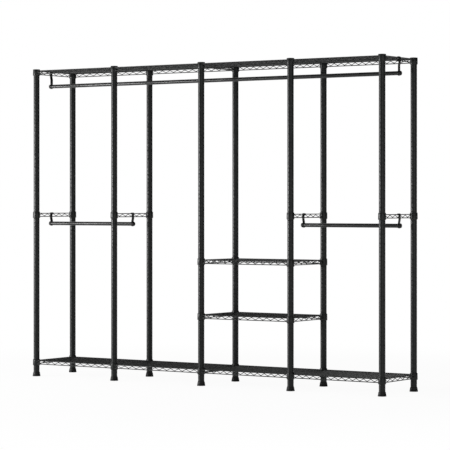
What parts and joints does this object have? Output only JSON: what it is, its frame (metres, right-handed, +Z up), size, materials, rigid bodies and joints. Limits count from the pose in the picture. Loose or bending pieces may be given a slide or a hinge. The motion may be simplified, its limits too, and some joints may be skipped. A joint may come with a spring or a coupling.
{
  "type": "clothes rack",
  "caption": "Free-standing black clothes rack: round posts carry wire shelves top and bottom, a long top rod, short lower rods and shelves in an inner bay.",
  "frame": {"origin": "on the floor, at the middle of the rack's length and depth", "axes": "+X along the rack to the right as seen from the front, +Z up; the front faces -Y"},
  "size_m": [2.5922, 0.4228, 1.956],
  "materials": {
    "powder_coated_steel": "black powder coat on steel, satin",
    "rod_coating": "smooth black coating on steel tube, satin",
    "black_plastic": "moulded black plastic, matte"
  },
  "bodies": {
    "frame": {"post_front_1": "powder_coated_steel", "post_front_2": "powder_coated_steel", "post_front_3": "powder_coated_steel", "post_front_4": "powder_coated_steel", "post_front_5": "powder_coated_steel", "post_back_1": "powder_coated_steel", "post_back_2": "powder_coated_steel", "post_back_3": "powder_coated_steel", "post_back_4": "powder_coated_steel", "post_back_5": "powder_coated_steel", "post_cap_front_1": "black_plastic", "post_cap_front_2": "black_plastic", "post_cap_front_3": "black_plastic", "post_cap_front_4": "black_plastic", "post_cap_front_5": "black_plastic", "post_cap_back_1": "black_plastic", "post_cap_back_2": "black_plastic", "post_cap_back_3": "black_plastic", "post_cap_back_4": "black_plastic", "post_cap_back_5": "black_plastic", "top_shelf_left": "powder_coated_steel", "top_shelf_right": "powder_coated_steel", "bottom_shelf_left": "powder_coated_steel", "bottom_shelf_right": "powder_coated_steel", "middle_shelf_upper": "powder_coated_steel", "middle_shelf_lower": "powder_coated_steel", "side_frame_1": "powder_coated_steel", "side_frame_2": "powder_coated_steel", "side_frame_4": "powder_coated_steel", "side_frame_5": "powder_coated_steel"},
    "leveller_front_1": {"foot_front_1": "black_plastic"},
    "leveller_front_2": {"foot_front_2": "black_plastic"},
    "leveller_front_3": {"foot_front_3": "black_plastic"},
    "leveller_front_4": {"foot_front_4": "black_plastic"},
    "leveller_front_5": {"foot_front_5": "black_plastic"},
    "leveller_back_1": {"foot_back_1": "black_plastic"},
    "leveller_back_2": {"foot_back_2": "black_plastic"},
    "leveller_back_3": {"foot_back_3": "black_plastic"},
    "leveller_back_4": {"foot_back_4": "black_plastic"},
    "leveller_back_5": {"foot_back_5": "black_plastic"},
    "top_hangers": {"top_rod_hanger_left": "powder_coated_steel", "top_rod_hanger_right": "powder_coated_steel"},
    "lower_left_hangers": {"lower_rod_left_hanger_left": "powder_coated_steel", "lower_rod_left_hanger_right": "powder_coated_steel"},
    "lower_right_hangers": {"lower_rod_right_hanger_left": "powder_coated_steel", "lower_rod_right_hanger_right": "powder_coated_steel"},
    "top_rod_and_caps": {"top_rod": "rod_coating", "top_rod_cap_left": "black_plastic", "top_rod_cap_right": "black_plastic"},
    "lower_left_rod_and_caps": {"lower_rod_left": "rod_coating", "lower_rod_left_cap_left": "black_plastic", "lower_rod_left_cap_right": "black_plastic"},
    "lower_right_rod_and_caps": {"lower_rod_right": "rod_coating", "lower_rod_right_cap_left": "black_plastic", "lower_rod_right_cap_right": "black_plastic"}
  },
  "joints": [
    {"name": "foot_front_1_adjust", "type": "slide", "parent": "frame", "child": "leveller_front_1", "axis": [0, 0, -1], "range_m": [0, 0.012]},
    {"name": "foot_front_2_adjust", "type": "slide", "parent": "frame", "child": "leveller_front_2", "axis": [0, 0, -1], "range_m": [0, 0.012]},
    {"name": "foot_front_3_adjust", "type": "slide", "parent": "frame", "child": "leveller_front_3", "axis": [0, 0, -1], "range_m": [0, 0.012]},
    {"name": "foot_front_4_adjust", "type": "slide", "parent": "frame", "child": "leveller_front_4", "axis": [0, 0, -1], "range_m": [0, 0.012]},
    {"name": "foot_front_5_adjust", "type": "slide", "parent": "frame", "child": "leveller_front_5", "axis": [0, 0, -1], "range_m": [0, 0.012]},
    {"name": "foot_back_1_adjust", "type": "slide", "parent": "frame", "child": "leveller_back_1", "axis": [0, 0, -1], "range_m": [0, 0.012]},
    {"name": "foot_back_2_adjust", "type": "slide", "parent": "frame", "child": "leveller_back_2", "axis": [0, 0, -1], "range_m": [0, 0.012]},
    {"name": "foot_back_3_adjust", "type": "slide", "parent": "frame", "child": "leveller_back_3", "axis": [0, 0, -1], "range_m": [0, 0.012]},
    {"name": "foot_back_4_adjust", "type": "slide", "parent": "frame", "child": "leveller_back_4", "axis": [0, 0, -1], "range_m": [0, 0.012]},
    {"name": "foot_back_5_adjust", "type": "slide", "parent": "frame", "child": "leveller_back_5", "axis": [0, 0, -1], "range_m": [0, 0.012]},
    {"name": "top_rod_lift", "type": "slide", "parent": "frame", "child": "top_hangers", "axis": [0, 0, 1], "range_m": [0, 0.008]},
    {"name": "lower_rod_left_lift", "type": "slide", "parent": "frame", "child": "lower_left_hangers", "axis": [0, 0, 1], "range_m": [0, 0.008]},
    {"name": "lower_rod_right_lift", "type": "slide", "parent": "frame", "child": "lower_right_hangers", "axis": [0, 0, 1], "range_m": [0, 0.008]},
    {"name": "top_rod_turn", "type": "hinge", "parent": "top_hangers", "child": "top_rod_and_caps", "pos_m": [0, -0.015, 1.854], "axis": [1, 0, 0], "continuous": true},
    {"name": "lower_rod_left_turn", "type": "hinge", "parent": "lower_left_hangers", "child": "lower_left_rod_and_caps", "pos_m": [-0.9562, -0.015, 0.9725], "axis": [1, 0, 0], "continuous": true},
    {"name": "lower_rod_right_turn", "type": "hinge", "parent": "lower_right_hangers", "child": "lower_right_rod_and_caps", "pos_m": [0.95685, -0.015, 0.9725], "axis": [1, 0, 0], "continuous": true}
  ]
}
